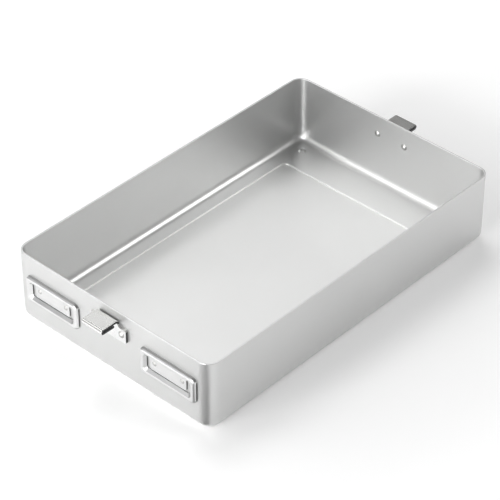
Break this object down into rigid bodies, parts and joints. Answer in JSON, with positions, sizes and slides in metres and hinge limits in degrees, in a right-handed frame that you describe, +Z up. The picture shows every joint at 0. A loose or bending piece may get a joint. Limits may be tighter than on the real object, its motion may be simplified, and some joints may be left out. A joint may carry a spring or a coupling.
{
  "type": "sterilization container tray",
  "caption": "Open drawn aluminium tray of a sterilization container, with hemmed steel latch catches riveted to its ends and pressed tag holders.",
  "frame": {"origin": "middle of the tray, on the surface that it stands on", "axes": "+X along the tray, away from the end with the tag holders; +Y across it; +Z up, out of its mouth"},
  "size_m": [0.3358, 0.19, 0.0607],
  "materials": {
    "tray_aluminium": "satin anodised sheet",
    "catch_steel": "polished",
    "holder_steel": "satin",
    "rivet_metal": "polished"
  },
  "bodies": {
    "root": {"tray": "tray_aluminium", "near_catch": "catch_steel", "near_catch_left_rivet": "rivet_metal", "near_catch_right_rivet": "rivet_metal", "far_catch": "catch_steel", "far_catch_left_rivet": "rivet_metal", "far_catch_right_rivet": "rivet_metal", "left_tag_holder": "holder_steel", "left_tag_holder_left_rivet": "rivet_metal", "left_tag_holder_right_rivet": "rivet_metal", "right_tag_holder": "holder_steel", "right_tag_holder_left_rivet": "rivet_metal", "right_tag_holder_right_rivet": "rivet_metal"}
  },
  "joints": []
}
